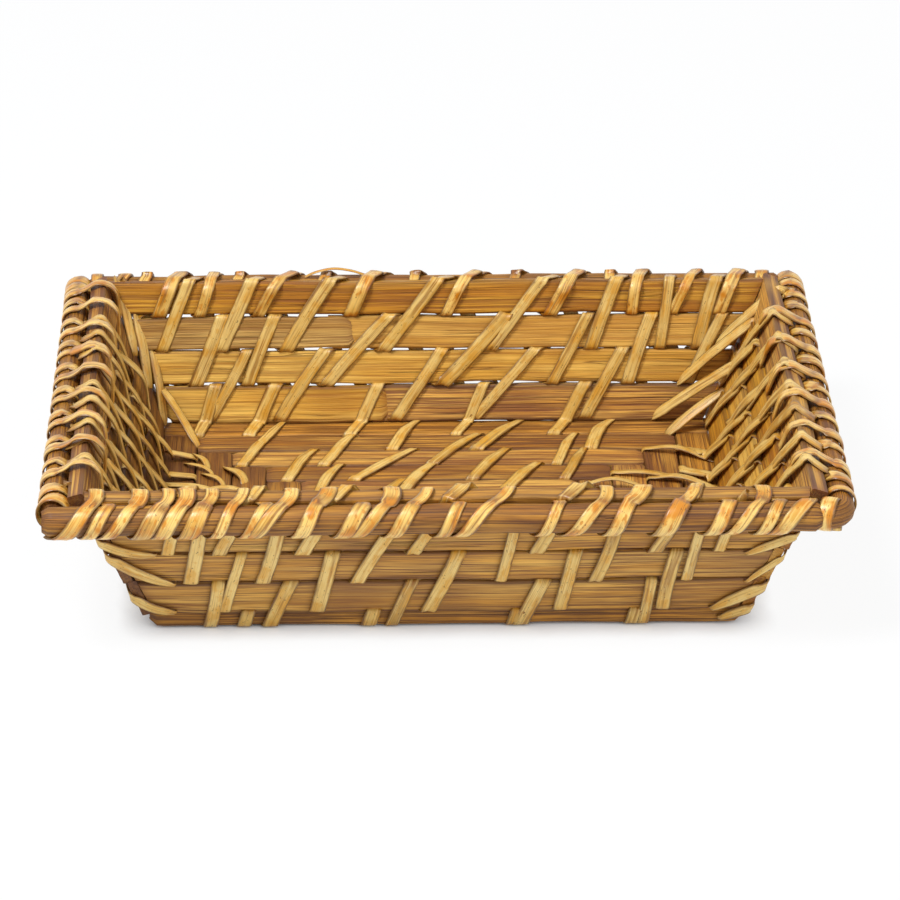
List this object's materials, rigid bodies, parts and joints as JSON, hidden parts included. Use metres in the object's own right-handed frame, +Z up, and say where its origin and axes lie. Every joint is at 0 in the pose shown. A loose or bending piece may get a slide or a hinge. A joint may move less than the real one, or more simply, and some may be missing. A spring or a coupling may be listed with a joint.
{
  "type": "bread basket",
  "caption": "Open rectangular rattan bread basket with flared walls of flat cane slats, bound by diagonal strips, and a wrapped round rim.",
  "frame": {"origin": "on the surface the basket stands on, under the middle of the basket", "axes": "+X along the length, +Y from the front to the back across the width, +Z up"},
  "size_m": [0.297, 0.2236, 0.064],
  "materials": {
    "rim_cane": "glossy round rattan rod",
    "golden_cane": "satin split cane",
    "pale_cane": "satin split cane",
    "brown_cane": "satin split cane",
    "binding_strip": "glossy rattan peel"
  },
  "bodies": {
    "root": {"rim_rod_front": "rim_cane", "wall_slat_front_1": "golden_cane", "wall_slat_front_2": "pale_cane", "wall_slat_front_3": "golden_cane", "wall_slat_front_4": "brown_cane", "foot_slat_front": "brown_cane", "floor_slat_front_1": "brown_cane", "floor_slat_front_2": "golden_cane", "floor_slat_front_3": "brown_cane", "floor_slat_front_4": "golden_cane", "floor_slat_front_5": "brown_cane", "rim_rod_right": "rim_cane", "wall_slat_right_1": "golden_cane", "wall_slat_right_2": "pale_cane", "wall_slat_right_3": "golden_cane", "wall_slat_right_4": "brown_cane", "foot_slat_right": "brown_cane", "floor_slat_right_1": "brown_cane", "floor_slat_right_2": "golden_cane", "floor_slat_right_3": "brown_cane", "floor_slat_right_4": "golden_cane", "rim_rod_back": "rim_cane", "wall_slat_back_1": "golden_cane", "wall_slat_back_2": "pale_cane", "wall_slat_back_3": "golden_cane", "wall_slat_back_4": "brown_cane", "foot_slat_back": "brown_cane", "floor_slat_back_1": "brown_cane", "floor_slat_back_2": "golden_cane", "floor_slat_back_3": "brown_cane", "floor_slat_back_4": "golden_cane", "floor_slat_back_5": "brown_cane", "rim_rod_left": "rim_cane", "wall_slat_left_1": "golden_cane", "wall_slat_left_2": "pale_cane", "wall_slat_left_3": "golden_cane", "wall_slat_left_4": "brown_cane", "foot_slat_left": "brown_cane", "floor_slat_left_1": "brown_cane", "floor_slat_left_2": "golden_cane", "floor_slat_left_3": "brown_cane", "floor_slat_left_4": "golden_cane", "lashing_rim": "binding_strip", "lashing_wall_1_2": "binding_strip", "lashing_wall_2_3": "binding_strip", "lashing_wall_3_4": "binding_strip", "lashing_wall_foot": "binding_strip", "lashing_foot_floor": "binding_strip", "lashing_floor_1_2": "binding_strip", "lashing_floor_2_3": "binding_strip", "lashing_floor_3_4": "binding_strip", "lashing_floor_middle_front": "binding_strip", "lashing_floor_middle_back": "binding_strip"}
  },
  "joints": []
}
